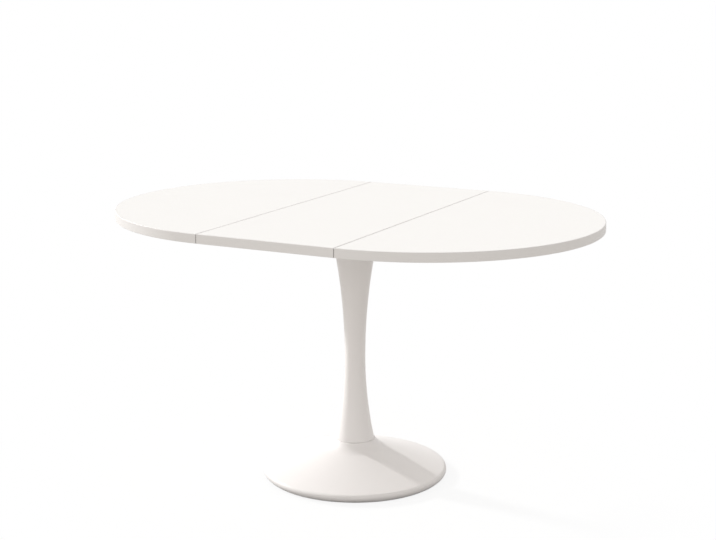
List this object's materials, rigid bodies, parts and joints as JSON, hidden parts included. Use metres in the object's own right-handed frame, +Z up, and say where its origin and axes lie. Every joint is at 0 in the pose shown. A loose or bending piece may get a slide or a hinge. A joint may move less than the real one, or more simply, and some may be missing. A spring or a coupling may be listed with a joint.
{
  "type": "extending dining table",
  "caption": "Round dining table that parts for a loose leaf, with geared slides under the top, on a waisted trumpet pedestal.",
  "frame": {"origin": "on the floor, under the column's axis", "axes": "+Z up, X along the extension with the left half at -X, -Y towards the viewer"},
  "size_m": [1.3998, 1, 0.76],
  "materials": {
    "white_board": "satin white faced board",
    "white_edging": "satin white edging",
    "white_lacquer": "satin white lacquer",
    "grey_powder_coat": "fine grey powder coat",
    "anodised_aluminium": "satin anodised",
    "zinc_steel": "zinc plated",
    "white_nylon": "moulded nylon",
    "grey_pad": "matt rubber",
    "black_plastic": "moulded, fine grained",
    "cast_iron": "as cast, primed"
  },
  "bodies": {
    "pedestal": {"column": "white_lacquer", "column_joint_ring": "zinc_steel", "base_shell": "white_lacquer", "ballast": "cast_iron", "bottom_plate": "zinc_steel", "bottom_screws": "zinc_steel", "glides": "grey_pad", "tie_rod": "zinc_steel", "tie_rod_nuts": "zinc_steel", "tie_rod_washers": "zinc_steel", "mounting_plate": "grey_powder_coat", "left_bearer": "grey_powder_coat", "right_bearer": "grey_powder_coat", "bearer_caps": "black_plastic", "bearer_bolts": "zinc_steel", "front_runner": "anodised_aluminium", "rear_runner": "anodised_aluminium", "runner_bolts": "zinc_steel", "leaf_rest_pads": "grey_pad", "runner_bushes": "white_nylon", "gear_bridge": "grey_powder_coat", "bridge_screws": "zinc_steel", "pinion_pin": "zinc_steel", "thrust_washer": "white_nylon", "retaining_ring": "zinc_steel", "front_rack_keeper": "white_nylon", "rear_rack_keeper": "white_nylon", "keeper_screws": "zinc_steel"},
    "left_top": {"left_panel": "white_board", "left_edging": "white_edging", "left_seam_edging": "white_edging", "left_rear_rail": "anodised_aluminium", "left_front_rail": "anodised_aluminium", "left_rail_screws": "zinc_steel", "left_leaf_tongues": "zinc_steel", "left_tongue_screws": "zinc_steel", "left_rack": "zinc_steel", "left_rack_block": "white_nylon", "left_rack_screws": "zinc_steel"},
    "right_top": {"right_panel": "white_board", "right_edging": "white_edging", "right_seam_edging": "white_edging", "right_rear_rail": "anodised_aluminium", "right_front_rail": "anodised_aluminium", "right_rail_screws": "zinc_steel", "right_leaf_tongues": "zinc_steel", "right_tongue_screws": "zinc_steel", "right_rack": "zinc_steel", "right_rack_block": "white_nylon", "right_rack_screws": "zinc_steel"},
    "leaf": {"leaf_panel": "white_board", "leaf_end_edgings": "white_edging", "leaf_seam_edgings": "white_edging", "leaf_locating_pins": "zinc_steel"},
    "pinion": {"pinion": "white_nylon"}
  },
  "joints": [
    {"name": "left_top_slide", "type": "slide", "parent": "pedestal", "child": "left_top", "axis": [-1, 0, 0], "range_m": [0, 0.04]},
    {"name": "right_top_slide", "type": "slide", "parent": "pedestal", "child": "right_top", "axis": [1, 0, 0], "range_m": [0, 0.04]},
    {"name": "pinion_spin", "type": "hinge", "parent": "pedestal", "child": "pinion", "pos_m": [0, 0, 0.715], "axis": [0, 0, 1], "range_deg": [-1, 103]},
    {"name": "leaf_lift", "type": "slide", "parent": "pedestal", "child": "leaf", "axis": [0, 0, 1], "range_m": [0, 0.12]}
  ],
  "couplings": [
    {"joint": "right_top_slide", "follows": "left_top_slide", "ratio": 1},
    {"joint": "pinion_spin", "follows": "left_top_slide", "rad_per_m": 44.444}
  ]
}
